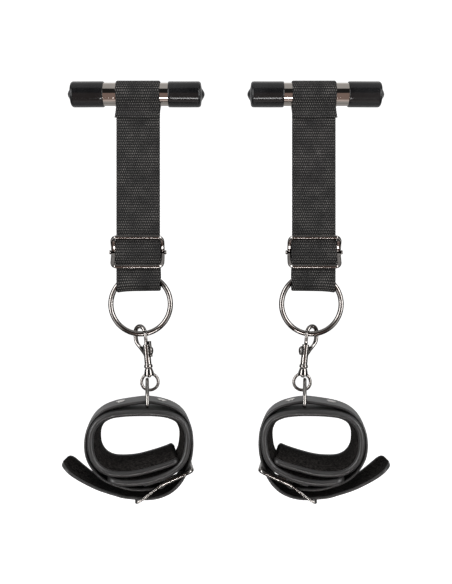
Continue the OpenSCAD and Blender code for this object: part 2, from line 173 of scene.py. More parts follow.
def leather_mat(name, base, lightc, rough, grain=2600.0, strength=0.35):
    m, nt, b = new_mat(name)
    co = node(nt, "ShaderNodeTexCoord").outputs["Object"]
    v1 = node(nt, "ShaderNodeTexVoronoi", feature="F1")
    v1.inputs["Scale"].default_value = grain / 1.9
    nt.links.new(co, v1.inputs[0])
    n1 = node(nt, "ShaderNodeTexNoise")
    n1.inputs["Scale"].default_value, n1.inputs["Detail"].default_value = grain / 2.4, 5
    nt.links.new(co, n1.inputs[0])
    n2 = node(nt, "ShaderNodeTexNoise")
    n2.inputs["Scale"].default_value, n2.inputs["Detail"].default_value = 42, 4
    nt.links.new(co, n2.inputs[0])
    h = math_n(nt, "ADD", math_n(nt, "MULTIPLY", v1.outputs["Distance"], 0.7), math_n(nt, "MULTIPLY", n1.outputs[0], 0.6))
    nt.links.new(ramp(nt, n2.outputs[0], [(0.3, base), (0.7, lightc)]), b.inputs["Base Color"])
    nt.links.new(mapr(nt, n2.outputs[0], 0.3, 0.7, rough * 0.88, rough * 1.12), b.inputs["Roughness"])
    b.inputs["Specular IOR Level"].default_value = 0.60
    bump(nt, b, h, strength, 0.00012)
    return m

def suede_mat(name, dark, light):
    m, nt, b = new_mat(name)
    co = node(nt, "ShaderNodeTexCoord").outputs["Object"]
    n1 = node(nt, "ShaderNodeTexNoise")
    n1.inputs["Scale"].default_value, n1.inputs["Detail"].default_value, n1.inputs["Roughness"].default_value = 2200, 5, 0.7
    nt.links.new(co, n1.inputs[0])
    n2 = node(nt, "ShaderNodeTexNoise")
    n2.inputs["Scale"].default_value, n2.inputs["Detail"].default_value = 520, 5
    nt.links.new(co, n2.inputs[0])
    h = math_n(nt, "ADD", math_n(nt, "MULTIPLY", n1.outputs[0], 0.6), math_n(nt, "MULTIPLY", n2.outputs[0], 0.6))
    nt.links.new(ramp(nt, h, [(0.52, dark), (0.76, light)]), b.inputs["Base Color"])
    b.inputs["Roughness"].default_value = 0.95
    b.inputs["Specular IOR Level"].default_value = 0.04
    b.inputs["Sheen Weight"].default_value = 0.0
    b.inputs["Sheen Roughness"].default_value = 0.6
    bump(nt, b, h, 0.8, 0.0003)
    return m

def vinyl_mat():
    m, nt, b = new_mat("vinyl_cap")
    co = node(nt, "ShaderNodeTexCoord").outputs["Object"]
    n1 = node(nt, "ShaderNodeTexNoise")
    n1.inputs["Scale"].default_value, n1.inputs["Detail"].default_value = 45, 2
    nt.links.new(co, n1.inputs[0])
    nt.links.new(ramp(nt, n1.outputs[0], [(0.3, (0.0035, 0.0035, 0.0038)), (0.7, (0.007, 0.007, 0.0075))]), b.inputs["Base Color"])
    nt.links.new(mapr(nt, n1.outputs[0], 0.3, 0.7, 0.16, 0.26), b.inputs["Roughness"])
    b.inputs["Specular IOR Level"].default_value = 0.28
    b.inputs["Coat Weight"].default_value = 0.18
    b.inputs["Coat Roughness"].default_value = 0.10
    bump(nt, b, n1.outputs[0], 0.004, 0.0003)
    return m

def thread_mat():
    m, nt, b = new_mat("thread")
    co = node(nt, "ShaderNodeTexCoord").outputs["Object"]
    n1 = node(nt, "ShaderNodeTexNoise")
    n1.inputs["Scale"].default_value = 4000
    nt.links.new(co, n1.inputs[0])
    nt.links.new(ramp(nt, n1.outputs[0], [(0.35, (0.006, 0.006, 0.006)), (0.65, (0.028, 0.028, 0.028))]), b.inputs["Base Color"])
    b.inputs["Roughness"].default_value = 0.6
    return m

M = {
    "web": webbing_mat(),
    "gun": metal("gunmetal", (0.21, 0.197, 0.187), (0.31, 0.292, 0.28), 0.16, 90.0),
    "tube": metal("gunmetal_tube", (0.42, 0.385, 0.355), (0.50, 0.46, 0.425), 0.09, 70.0),
    "bright": metal("buckle_metal", (0.23, 0.218, 0.208), (0.33, 0.315, 0.30), 0.17, 90.0),
    # rivet metal is coloured light grey as a painted highlight: the colour stands for the glint on dark domed rivet
    # heads
    "rivet": metal("rivet_painted_glint_metal", (0.62, 0.60, 0.58), (0.74, 0.72, 0.70), 0.36, 120.0),
    "spring": metal("spring_steel", (0.5, 0.5, 0.49), (0.62, 0.62, 0.6), 0.25),
    "cap": vinyl_mat(),
    "leather": leather_mat("leatherette", (0.0095, 0.0091, 0.0091), (0.0160, 0.0153, 0.0152), 0.40),
    "lining": suede_mat("lining", (0.0005, 0.0005, 0.0005), (0.030, 0.027, 0.0255)),
    "thread": thread_mat(),
}

# ------------------------------------------------------------------ mesh helpers
def cr(p, n):
    """Smooth curve through points, n steps between each two."""
    p = np.asarray(p, float)
    out = []
    for i in range(len(p) - 1):
        a, b, c, d = p[max(i - 1, 0)], p[i], p[i + 1], p[min(i + 2, len(p) - 1)]
        for k in range(n):
            t = k / n
            out.append(0.5 * (2 * b + (c - a) * t + (2 * a - 5 * b + 4 * c - d) * t * t + (3 * b - a - 3 * c + d) * t ** 3))
    out.append(p[-1])
    return np.array(out)

def arc2(c, r, a0, a1, n):
    a = np.radians(np.linspace(a0, a1, n + 1))
    return np.stack([c[0] + r * np.cos(a), c[1] + r * np.sin(a)], 1)

def resample(p, step):
    p = np.asarray(p, float)
    d = np.r_[0, np.cumsum(np.linalg.norm(np.diff(p, axis=0), axis=1))]
    n = max(2, int(round(d[-1] / step)) + 1)
    s = np.linspace(0, d[-1], n)
    return np.stack([np.interp(s, d, p[:, k]) for k in range(p.shape[1])], 1), s

def smooth_path(p, times, closed=False):
    p = p.copy()
    for _ in range(times):
        q = p.copy()
        q[1:-1] = 0.25 * p[:-2] + 0.5 * p[1:-1] + 0.25 * p[2:]
        p = q
    return p

def normals2(p):
    t = np.gradient(p, axis=0)
    t /= np.linalg.norm(t, axis=1)[:, None]
    return np.stack([-t[:, 1], t[:, 0]], 1)

def cuff_place(v):
    """Cuff coordinates to the unit's: turned on the swivel."""
    a = math.radians(TURN)
    x = v[:, 0] + CUFF_X - PIV_X
    y = v[:, 1]
    return np.stack([PIV_X + x * math.cos(a) - y * math.sin(a), HOOK[1] + x * math.sin(a) + y * math.cos(a), v[:, 2]], 1)

def hook_place(v, twist=-TWIST):
    a, t = math.radians(LEAN), math.radians(twist)
    x, y, z = v[:, 0] * math.cos(t) - v[:, 1] * math.sin(t), v[:, 0] * math.sin(t) + v[:, 1] * math.cos(t), v[:, 2]
    return np.stack([HOOK[0] + x * math.cos(a) - z * math.sin(a), HOOK[1] + y, HOOK[2] + x * math.sin(a) + z * math.cos(a)], 1)

def build(name, side, verts, faces, mats, face_mat=None, uvs=None, smooth=True, angle=None):
    """Unit-local millimetres to row metres; the right unit is mirrored."""
    v = np.asarray(verts, float).copy()
    v[:, 0] -= SP
    if side == "right":
        v[:, 0] *= -1
        faces = [tuple(reversed(f)) for f in faces]
    me = bpy.data.meshes.new(f"{side}_{name}")
    me.from_pydata((v / 1000).tolist(), [], faces)
    for m in mats:
        me.materials.append(m)
    if face_mat is not None:
        me.polygons.foreach_set("material_index", np.asarray(face_mat, np.int32))
    if uvs is not None:
        layer = me.uv_layers.new(name="UVMap")
        uvs = np.asarray(uvs, float)
        idx = np.empty(len(me.loops), np.int32)
        me.loops.foreach_get("vertex_index", idx)
        layer.data.foreach_set("uv", uvs[idx].ravel())
    me.polygons.foreach_set("use_smooth", [smooth] * len(me.polygons))
    me.validate()
    me.update()
    o = bpy.data.objects.new(f"{side}_{name}", me)
    bpy.context.scene.collection.objects.link(o)
    if angle:
        for e in me.edges:
            pass
        md = o.modifiers.new("split", "EDGE_SPLIT")
        md.split_angle = math.radians(angle)
    return o

def grid_faces(nu, nv, wrap_u=False, wrap_v=False):
    f = []
    for i in range(nv if wrap_v else nv - 1):
        for j in range(nu if wrap_u else nu - 1):
            a, b = i * nu + j, i * nu + (j + 1) % nu
            c, d = ((i + 1) % nv) * nu + (j + 1) % nu, ((i + 1) % nv) * nu + j
            f.append((a, b, c, d))
    return f

def sweep(path, radius, sides=20, closed=False, flat=None, caps=True):
    """A wire of the given radius (one number or one a point) along a 3D path. Returns verts and faces."""
    p = np.asarray(path, float)
    n = len(p)
    r = np.full(n, radius) if np.isscalar(radius) else np.asarray(radius, float)
    t = (np.roll(p, -1, 0) - np.roll(p, 1, 0)) if closed else np.gradient(p, axis=0)
    t /= np.linalg.norm(t, axis=1)[:, None]
    ref = np.array([0.0, 0, 1]) if abs(t[0][2]) < 0.8 else np.array([1.0, 0, 0])
    u = np.cross(t[0], ref); u /= np.linalg.norm(u)
    us = [u]
    for i in range(1, n):
        u = us[-1] - (us[-1] @ t[i]) * t[i]
        us.append(u / np.linalg.norm(u))
    us = np.array(us)
    if closed:
        # spread the leftover twist over the loop
        u = us[-1] - (us[-1] @ t[0]) * t[0]; u /= np.linalg.norm(u)
        ang = math.atan2(np.cross(u, us[0]) @ t[0], u @ us[0])
        for i in range(n):
            a = ang * i / n
            w = np.cross(t[i], us[i])
            us[i] = us[i] * math.cos(a) + w * math.sin(a)
    ws = np.cross(t, us)
    a = np.linspace(0, 2 * math.pi, sides, endpoint=False)
    v = p[:, None] + r[:, None, None] * (np.cos(a)[None, :, None] * us[:, None] + np.sin(a)[None, :, None] * ws[:, None])
    f = grid_faces(sides, n, wrap_u=True, wrap_v=closed)
    v = v.reshape(-1, 3)
    if not closed and caps:
        f.append(tuple(range(sides - 1, -1, -1)))
        f.append(tuple((n - 1) * sides + k for k in range(sides)))
    f = [tuple(reversed(q)) for q in f]
    return v, f

def lathe(profile, sides=64):
    """profile: (r, h) pairs from axis to axis, round +Z."""
    pr = np.asarray(profile, float)
    a = np.linspace(0, 2 * math.pi, sides, endpoint=False)
    v = np.stack([np.outer(pr[:, 0], np.cos(a)), np.outer(pr[:, 0], np.sin(a)), np.repeat(pr[:, 1:2], sides, 1)], 2).reshape(-1, 3)
    return v, grid_faces(sides, len(pr), wrap_u=True)

def weld(o, dist=1e-6):
    bm = bmesh.new(); bm.from_mesh(o.data)
    bmesh.ops.remove_doubles(bm, verts=bm.verts, dist=dist)
    bmesh.ops.dissolve_degenerate(bm, edges=bm.edges, dist=1e-8)
    bmesh.ops.recalc_face_normals(bm, faces=bm.faces)
    bm.to_mesh(o.data); bm.free()
    o.data.polygons.foreach_set("use_smooth", [True] * len(o.data.polygons))
    return o

def join_parts(parts):
    vs, fs, k = [], [], 0
    for v, f in parts:
        vs.append(v); fs += [tuple(i + k for i in q) for q in f]; k += len(v)
    return np.vstack(vs), fs

def apply_mods(o):
    bpy.context.view_layer.update()
    dg = bpy.context.evaluated_depsgraph_get()
    me = bpy.data.meshes.new_from_object(o.evaluated_get(dg), depsgraph=dg)
    o.modifiers.clear()
    o.data = me
    me.polygons.foreach_set("use_smooth", [True] * len(me.polygons))
    return o

def remesh_smooth(o, voxel, smooth=6, factor=0.5):
    md = o.modifiers.new("rm", "REMESH"); md.mode = "VOXEL"; md.voxel_size = voxel; md.use_smooth_shade = True
    if smooth:
        ms = o.modifiers.new("sm", "SMOOTH"); ms.factor = factor; ms.iterations = smooth
    return apply_mods(o)

# ------------------------------------------------------------------ webbing
def web_band(name, side, path, s0=0.0, width=WEB_W, t=WEB_T, x=WEB_X, step=0.3, phase=0.0, skew=0.0, taper=None):
    """Ribbed webbing that follows a (y, z) path. Ribs run across, one each 2.4 mm."""
    p, s = resample(path, step)
    nm = normals2(p)
    nu = 41
    half = np.linspace(-1, 1, nu)
    prof = np.sign(half) * (1 - (1 - np.abs(half)) ** 1.0)
    xs = x + prof * width / 2
    edge = np.clip((1 - np.abs(half)) * width / 2 / 1.1, 0, 1)
    thick = t / 2 * (0.35 + 0.65 * np.sqrt(np.clip(1 - (1 - edge) ** 2, 0, 1)))
    ph = 2 * math.pi * (s + s0 + phase) / 2.4
    rib = 0.10 * (np.sin(ph)[:, None] * 0.9 + 0.0)
    wig = 0.03 * np.sin(ph * 0.5 + 1.3)[:, None] * np.cos(half * 40)[None]
    top = thick[None] + rib + wig - 0.10
    bot = -thick[None] + 0.10 - 0.10 * np.sin(ph + math.pi * 0.9)[:, None]
    selv = 0.10 * np.sin(ph)[:, None] * (np.abs(half) > 0.97)[None] * np.sign(half)[None]
    V, UV = [], []
    sk = np.zeros(len(s)) if taper is None else taper(s)
    for off in (top, bot):
        v = np.empty((len(p), nu, 3))
        v[:, :, 0] = xs[None] + selv + skew * s[:, None] * 0.0 + sk[:, None]
        v[:, :, 1] = p[:, None, 0] + nm[:, None, 0] * off
        v[:, :, 2] = p[:, None, 1] + nm[:, None, 1] * off
        V.append(v.reshape(-1, 3))
        UV.append(np.stack([np.repeat(prof[None] * width / 2000 + 0.05, len(p), 0), np.repeat((s[:, None] + s0) / 1000, nu, 1)], 2).reshape(-1, 2))
    n = len(p) * nu
    f = grid_faces(nu, len(p))
    F = [tuple(reversed(q)) for q in f] + [tuple(i + n for i in q) for q in f]
    for i in range(len(p) - 1):
        a, b = i * nu, (i + 1) * nu
        F.append((a, b, b + n, a + n))
        a, b = i * nu + nu - 1, (i + 1) * nu + nu - 1
        F.append((b, a, a + n, b + n))
    for j in range(nu - 1):
        F.append((j + 1, j, j + n, j + 1 + n))
        k = (len(p) - 1) * nu + j
        F.append((k, k + 1, k + 1 + n, k + n))
    return build(name, side, np.vstack(V), F, [M["web"]], uvs=np.vstack(UV))

def stitches(name, side, rows, ends, pitch=2.4, length=1.9, r=0.28, depth=0.25):
    """Lock stitches along straight rows: each row a pair of 3D points, with the outward normal as ends[i]."""
    parts = []
    for (a, b), nrm in zip(rows, ends):
        a, b, nrm = np.array(a, float), np.array(b, float), np.array(nrm, float)
        L = np.linalg.norm(b - a); d = (b - a) / L
        k = max(1, int(L / pitch))
        for i in range(k):
            c = a + d * (L * (i + 0.5) / k)
            u = np.linspace(-1, 1, 7)
            path = c + d * (u[:, None] * length / 2) + nrm * ((1 - u[:, None] ** 4) * depth - 0.12)
            parts.append(sweep(path, r * np.sqrt(1 - 0.55 * u ** 4), 8))
    v, f = join_parts(parts)
    return build(name, side, v, f, [M["thread"]])

def make_webbing(side):
    lr = 10.5 + 0.3 + WEB_T / 2
    yf = RUN_Y - WEB_T - 0.05
    loop = np.vstack([
        [[yf, -22.2], [yf, -17.2]],
        arc2((0, 0), lr, 226, -46, 70),
        [[RUN_Y, -17.4], [RUN_Y, -24]]])
    loop = smooth_path(resample(loop, 0.5)[0], 10)
    run = np.vstack([loop, [[RUN_Y, -30], [RUN_Y, -168.0]]])
    total = resample(run, 0.3)[1][-1]
    run_o = web_band("strap_run", side, run, taper=lambda s: np.where(s < 9, -1.5 * (1 - s / 9), 0.0))
    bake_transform(run_o)
    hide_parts(f"{side}_strap_webbing")
    fold = np.vstack([[[RUN_Y, -167.9], [RUN_Y + 0.05, -170]], arc2((RING_Y, -174.6), 5.7, 180, 360, 30), [[RING_Y + 5.7, -170.5], [RING_Y + 5.65, -166.5]]])
    fold = smooth_path(resample(fold, 0.4)[0], 6)
    fold_o = web_band("strap_fold", side, fold, s0=total)
    # the fold hangs lower at its left edge, where the ring bears on it
    q = -1 if side == "left" else 1
    for v in fold_o.data.vertices:
        z = v.co.z * 1000
        k = min(max((-168 - z) / 7, 0), 1)
        k = k * k * (3 - 2 * k)
        u = ((v.co.x * 1000 + SP) if side == "left" else (SP - v.co.x * 1000)) - WEB_X
        u /= 20
        v.co.z += (0.25 * u - 1.55 * max(0, -u - 0.1) ** 2.4) * k / 1000
    t2 = total + resample(fold, 0.3)[1][-1]
    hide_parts(f"{side}_strap_ring_fold")
    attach(fold_o, f"{side}_ring_fold")
    rr = 1.3 + 0.1 + WEB_T / 2
    end = np.vstack([
        cr([[RING_Y + 5.65, -166.6], [RING_Y + 5.1, -163.8], [SLB_Y + 3.6, -158.3], [SLB_Y + rr, -154.6], [SLB_Y + rr, -150]], 8),
        arc2((SLB_Y, SL_Z), rr, 0, 180, 24),
        cr([[SLB_Y - rr, -147.0], [SLB_Y - rr + 0.5, -148.8], [SLB_Y + 0.3, -151.2], [SLB_Y + rr - WEB_T - 0.05, -153.2], [SLB_Y + rr - WEB_T - 0.05, -155.6]], 6)])
    end = smooth_path(resample(end, 0.4)[0], 4)
    end_o = web_band("strap_end", side, end, s0=t2)
    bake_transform(end_o)
    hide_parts(f"{side}_strap_sewn_end")
    # the run is pushed forward where it crosses the slider's centre bar
    zz = np.linspace(1, -1, 40)
    bul = np.stack([RUN_Y - 0.25 - 2.3 * np.cos(zz * math.pi / 2) ** 1.5, SL_Z + zz * 12.6], 1)
    bul_o = web_band("strap_bulge", side, bul, s0=130.0, t=1.3, width=WEB_W + 1.5)
    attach(bul_o, f"{side}_slider")
    # seam of the sewn loop: rows of thread are listed, and one row of stitches is built
    y = yf - WEB_T / 2 - 0.02
    rows = [((WEB_X - 18.6, y, z), (WEB_X + 18.6, y, z)) for z in (-12.6 + 0.2, -18.0)]
    rows += [((WEB_X - 18.6, y, -12.4), (WEB_X - 18.6, y, -18.0)), ((WEB_X + 18.6, y, -12.4), (WEB_X + 18.6, y, -18.0))]
    rows = [r for r in rows]
    st = stitches("loop_stitches", side, [rows[1]], [(0, -1, 0)])
    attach(st, f"{side}_strap")
    return run_o, fold_o, end_o, bul_o

# ------------------------------------------------------------------ anchor tube
def make_anchor(side):
    # tube: the CAD node stays
    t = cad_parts[f"{side}_bar_tube"]
    t.data.materials.clear(); t.data.materials.append(M["tube"])
    t.data.polygons.foreach_set("use_smooth", [True] * len(t.data.polygons))
    for cap, sgn in (("outer", -1), ("inner", 1)):
        r = 11.7
        prof = [(10.52, 29.8), (10.9, 29.55), (11.35, 29.6), (11.62, 29.95), (11.7, 30.5)]
        prof += [(r, z) for z in (32, 40, 50, 56)]
        prof += [(r - 2.7 + 2.7 * math.cos(a), 57.1 + 2.7 * math.sin(a)) for a in np.radians(np.linspace(0, 78, 14))]
        prof += [(7.9, 59.95), (6.6, 60.1), (5.6, 60.4), (4.6, 61.0), (3.5, 61.75), (2.5, 62.4), (1.6, 62.8), (0.7, 62.95), (0.001, 63.0)]
        prof = smooth_path(np.array(prof), 1)
        prof[0] = (10.52, 29.8)
        v, f = lathe(prof, 96)
        # inner wall closes the cap on the tube
        v2, f2 = lathe([(10.52, 29.8), (10.52, 33.0), (0.001, 33.0)][:2], 96)
        v, f = join_parts([(v, f), (v2, [tuple(reversed(q)) for q in f2])])
        v = np.stack([sgn * v[:, 2], v[:, 0], v[:, 1]], 1)
        # dipped vinyl is never quite even
        a = np.arctan2(v[:, 2], v[:, 1]); rad = np.hypot(v[:, 1], v[:, 2])
        k = 1 + 0.0035 * np.sin(3 * a + v[:, 0] * 0.13) * (rad > 10.8)
        v[:, 1] *= k; v[:, 2] *= k
        o = build(f"cap_{cap}", side, v, f if sgn > 0 else [tuple(reversed(q)) for q in f], [M["cap"]])
        weld(o, 2e-6)
        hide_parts(f"{side}_bar_cap_{cap}")
        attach(o, f"{side}_anchor")

# ------------------------------------------------------------------ slider and rings
def make_slider(side):
    W, H = 49.6 / 2, 30.2 / 2
    c = 5.6
    out = np.vstack([arc2((W - c, H - c), c, 0, 90, 14), arc2((c - W, H - c), c, 90, 180, 14),
                     [[-W, (H - c) * (1 - k / 14)] for k in range(1, 28)],
                     arc2((c - W, c - H), c, 180, 270, 14), arc2((W - c, c - H), c, 270, 360, 14),
                     [[W, (H - c) * (k / 14 - 1)] for k in range(1, 28)]])
    n = len(out)
    t = np.roll(out, -1, 0) - np.roll(out, 1, 0)
    t /= np.linalg.norm(t, axis=1)[:, None]
    nrm = np.stack([t[:, 1], -t[:, 0]], 1)                       # outwards
    sideness = np.clip(np.abs(nrm[:, 0]), 0, 1) ** 2
    wl = np.where(out[:, 0] < 0, 5.3, 4.5)
    width = 3.5 + (wl - 3.5) * sideness
    h = H - 1.9
    def bow(z):
        return SLF_Y + (SLB_Y - SLF_Y) * max(0.0, 1 - (abs(z) / h) ** 1.7)
    sec = [(math.copysign(abs(math.cos(a)) ** 0.75, math.cos(a)), math.copysign(abs(math.sin(a)) ** 0.75, math.sin(a))) for a in np.linspace(0, 2 * math.pi, 28, endpoint=False)]
    V = []
    for i in range(n):
        hw = width[i] / 2
        cx, cz = out[i] - nrm[i] * hw
        zc = min(max(cz, -h), h)
        near = math.exp(-(cz / 2.0) ** 2) * sideness[i]
        hd = 1.75 - 0.95 * near
        hw2 = hw * (1 - 0.15 * near)
        for a, b_ in sec:
            V.append((SL_X + cx + nrm[i][0] * a * hw2, bow(zc) + b_ * hd, SL_Z + cz + nrm[i][1] * a * hw2))
    F = grid_faces(28, n, wrap_u=True, wrap_v=True)
    o = weld(build("slider_frame_v", side, np.array(V), F, [M["gun"]]))
    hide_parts(f"{side}_slider_frame"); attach(o, f"{side}_slider")
    # centre bar with riveted ends
    prof = [(0.001, -26.4), (1.5, -26.35), (1.95, -26.0), (2.05, -25.3), (1.8, -24.8), (1.45, -24.6), (1.45, -20.5), (1.3, -20.2), (1.3, 0), (1.3, 20.2), (1.45, 20.5), (1.45, 24.6), (1.8, 24.8), (2.05, 25.3), (1.95, 26.0), (1.5, 26.35), (0.001, 26.4)]
    v, f = lathe(prof, 32)
    v = np.stack([SL_X + v[:, 2], SLB_Y + v[:, 0], SL_Z + v[:, 1]], 1)
    o = weld(build("slider_bar_v", side, v, f, [M["gun"]]))
    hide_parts(f"{side}_slider_bar"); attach(o, f"{side}_slider")

def make_ring(side):
    a = np.linspace(0, 2 * math.pi, 180, endpoint=False)
    p = np.stack([RING_X + 27.5 * np.cos(a), np.full_like(a, RING_Y), RING_Z + 27.5 * np.sin(a)], 1)
    r = 2.5 + 0.06 * np.exp(-((a - 0.35 * math.pi) / 0.03) ** 2) - 0.05 * np.exp(-((a - 0.35 * math.pi) / 0.012) ** 2)
    v, f = sweep(p, r, 32, closed=True)
    o = build("o_ring_v", side, v, f, [M["gun"]])
    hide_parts(f"{side}_o_ring"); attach(o, f"{side}_ring")

# ------------------------------------------------------------------ snap hook
def cyl(r, z0, z1, x=0.0, y=0.0, sides=48, r1=None):
    r1 = r if r1 is None else r1
    v, f = lathe([(0.001, z0), (r, z0), (r1, z1), (0.001, z1)], sides)
    v[:, 0] += x; v[:, 1] += y
    return v, f

def prism(poly, y0, y1):
    """Polygon in (x, z), extruded along y."""
    n = len(poly)
    v = [(x, y0, z) for x, z in poly] + [(x, y1, z) for x, z in poly]
    f = [tuple(range(n)), tuple(range(2 * n - 1, n - 1, -1))] + [(i, i + n, (i + 1) % n + n, (i + 1) % n) for i in range(n)]
    return np.array(v, float), f

def make_hook(side):
    AR, AZ, W = 6.7, 10.4, 2.0
    # arch and leg: one bent round bar that thins a little at the nose
    a = np.radians(np.linspace(16, 180, 48))
    arch = np.stack([-AR + AR * np.cos(a), 0 * a, AZ + AR * np.sin(a)], 1)
    leg = cr([(-13.4, 0, 10.0), (-13.4, 0, 6.0), (-13.1, 0, 3.4), (-11.6, 0, 0.6), (-8.6, 0, -2.8), (-5.6, 0, -6.0), (-2.4, 0, -9.6)], 8)
    path = np.vstack([arch, leg])
    path = smooth_path(resample(path, 0.35)[0], 4)
    n = len(path)
    r = np.interp(np.linspace(0, 1, n), [0, 0.1, 0.6, 0.8, 1], [1.85, 2.0, 2.0, 1.55, 1.4])
    parts = [sweep(path, r, 24)]
    parts.append(prism([(-12.6, 2.6), (-10.9, 1.6), (-7.2, -1.6), (-2.6, -1.9), (-2.6, -12.2), (-4.6, -9.2), (-9.0, -4.0)], -1.15, 1.15))
    # barrel and collar
    parts.append(cyl(3.2, -19.6, 0))
    parts.append(lathe([(0.001, -21.5), (3.6, -21.5), (4.0, -21.1), (4.0, -19.2), (3.6, -18.6), (3.1, -18.2), (0.001, -18.2)], 48))
    v, f = join_parts(parts)
    o = build("hook_body_v", side, hook_place(v), f, [M["gun"]])
    remesh_smooth(o, 0.00026, 5, 0.5)
    # the barrel's mouth and lever slot are cut after
    cut, cf = join_parts([cyl(1.72, -14, 3), prism([(0.5, -11.5), (6, -11.5), (6, 3), (0.5, 3)], -1.1, 1.1)])
    tool = build("hook_cut", side, hook_place(cut), cf, [M["gun"]])
    weld(tool)
    rm = tool.modifiers.new("rm", "REMESH"); rm.mode = "VOXEL"; rm.voxel_size = 0.0002
    apply_mods(tool)
    md = o.modifiers.new("cut", "BOOLEAN"); md.operation = "DIFFERENCE"; md.object = tool; md.solver = "FAST"
    apply_mods(o)
    bpy.data.objects.remove(tool)
    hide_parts(f"{side}_hook_body"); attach(o, f"{side}_hook")
    # bolt: a round pin with a lever that curls over
    parts = [lathe([(0.001, -5), (1.6, -5), (1.6, 10.6), (1.45, 11.0), (1.1, 11.2), (0.001, 11.25)], 40)]
    v, f = join_parts(parts)
    lev = cr([(0.6, 0, -2.6), (3.2, 0, -2.4), (5.2, 0, -2.5), (6.6, 0, -3.6), (7.0, 0, -5.4), (6.5, 0, -7.6), (5.5, 0, -9.4)], 8)
    lev = resample(lev, 0.25)[0]
    k = np.linspace(0, 1, len(lev))
    nm = normals2(lev[:, [0, 2]])
    half = np.interp(k, [0, 0.35, 0.6, 1], [0.95, 0.95, 1.5, 1.35])
    th = np.interp(k, [0, 0.3, 1], [1.25, 0.95, 0.6])
    sec = [(math.copysign(abs(math.cos(t)) ** 0.6, math.cos(t)), math.copysign(abs(math.sin(t)) ** 0.6, math.sin(t))) for t in np.linspace(0, 2 * math.pi, 20, endpoint=False)]
    V = []
    for i in range(len(lev)):
        for cx, cy in sec:
            V.append((lev[i][0] + nm[i][0] * th[i] * cy, half[i] * cx, lev[i][2] + nm[i][1] * th[i] * cy))
    V = np.array(V)
    F = grid_faces(20, len(lev), wrap_u=True) + [tuple(range(19, -1, -1)), tuple((len(lev) - 1) * 20 + q for q in range(20))]
    v, f = join_parts([(v, f), (V, F)])
    o = weld(build("hook_bolt_v", side, hook_place(v), f, [M["gun"]]), 2e-6)
    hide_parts(f"{side}_hook_bolt"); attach(o, f"{side}_bolt")
    # spring: a real coil
    t = np.linspace(0, 1, 7 * 24)
    p = np.stack([1.2 * np.cos(t * 14 * math.pi), 1.2 * np.sin(t * 14 * math.pi), -15.2 + 9.8 * t], 1)
    v, f = sweep(p, 0.25, 8)
    o = build("hook_spring_v", side, hook_place(v), f, [M["spring"]])
    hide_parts(f"{side}_hook_spring"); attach(o, f"{side}_hook")
    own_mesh(o)
    # rivet end inside the eye
    v, f = lathe([(0.001, -14.6), (1.28, -14.6), (1.28, -29.3), (1.7, -29.5), (1.72, -29.9), (1.5, -30.3), (0.8, -30.5), (0.001, -30.5)], 32)
    o = weld(build("swivel_rivet_v", side, hook_place(v), f, [M["gun"]]))
    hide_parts(f"{side}_swivel_rivet"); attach(o, f"{side}_hook")
    # bell and eye
    a = np.linspace(0, 2 * math.pi, 120, endpoint=False)
    ex = 7.6 * np.cos(a) * (1 - 0.05 * np.sin(a))
    p = np.stack([ex, 0 * a, -EYE_DOWN + 7.6 * np.sin(a) * np.where(np.sin(a) > 0, 0.98, 1.0)], 1)
    parts = [sweep(p, 1.45, 24, closed=True),
             lathe([(0.001, -29.1), (3.9, -29.1), (4.45, -28.8), (4.65, -28.0), (4.55, -26.4), (4.1, -24.4), (3.6, -22.8), (3.2, -21.75), (0.001, -21.7)], 64)]
    v, f = join_parts(parts)
    o = build("swivel_eye_v", side, hook_place(v, TURN), f, [M["gun"]])
    remesh_smooth(o, 0.00024, 4, 0.5)
    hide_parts(f"{side}_swivel_eye"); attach(o, f"{side}_swivel")

def make_dee(side):
    R = 21.65
    c = 2.0
    arcp = arc2((0, 0), R, 8, 172, 90)
    corner1 = cr([arcp[-1], (-R + 0.15, 1.2), (-R + 0.9, 0.25), (-R + 2.2, 0.0)], 6)
    corner2 = cr([(R - 2.2, 0.0), (R - 0.9, 0.25), (R - 0.15, 1.2), arcp[0]], 6)
    base = np.stack([np.linspace(-R + 2.2, R - 2.2, 40), np.zeros(40)], 1)
    p2 = np.vstack([arcp[:-1], corner1[:-1], base[:-1], corner2[:-1]])
    q = np.vstack([p2, p2[:1]])
    q = resample(q, 0.7)[0][:-1]
    p = np.stack([np.full(len(q), DEE_X), q[:, 0], DEE_Z + q[:, 1]], 1)
    v, f = sweep(p, 1.65, 24, closed=True)
    o = build("d_ring_v", side, cuff_place(v), f, [M["bright"]])
    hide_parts(f"{side}_cuff_d_ring"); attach(o, f"{side}_dee")

# ------------------------------------------------------------------ cuff
PAD_PATH = [
    [34.0, -330.6], [28.0, -333.4], [18, -336.7], [0, -341.2], [-14, -342.3], [-26, -341.0], [-35.5, -335.6], [-41.3, -326.5],
    [-43.1, -315], [-41.9, -304.4], [-36.6, -296.0], [-27.0, -290.8], [-14, -289.0], [0, -288.7], [14, -289.0],
    [26.7, -291.1], [36.8, -296.4], [42.0, -306.2], [42.3, -318], [39.8, -329], [34.2, -337.2], [24.5, -343.4],
    [12, -347.8], [0, -350], [-12, -350.2], [-22, -348.6], [-28.2, -345.9]]

def fbm(x, y, seed, octaves=3):
    """Smooth noise from a few sines with fixed random phases."""
    r = np.random.RandomState(seed)
    out = 0
    amp, fr = 1.0, 1.0
    for _ in range(octaves):
        for _k in range(4):
            a, b, ph = r.uniform(-1, 1), r.uniform(-1, 1), r.uniform(0, 6.28)
            out = out + amp * np.sin(fr * (a * x + b * y) + ph)
        amp *= 0.5; fr *= 2.1
    return out / 4

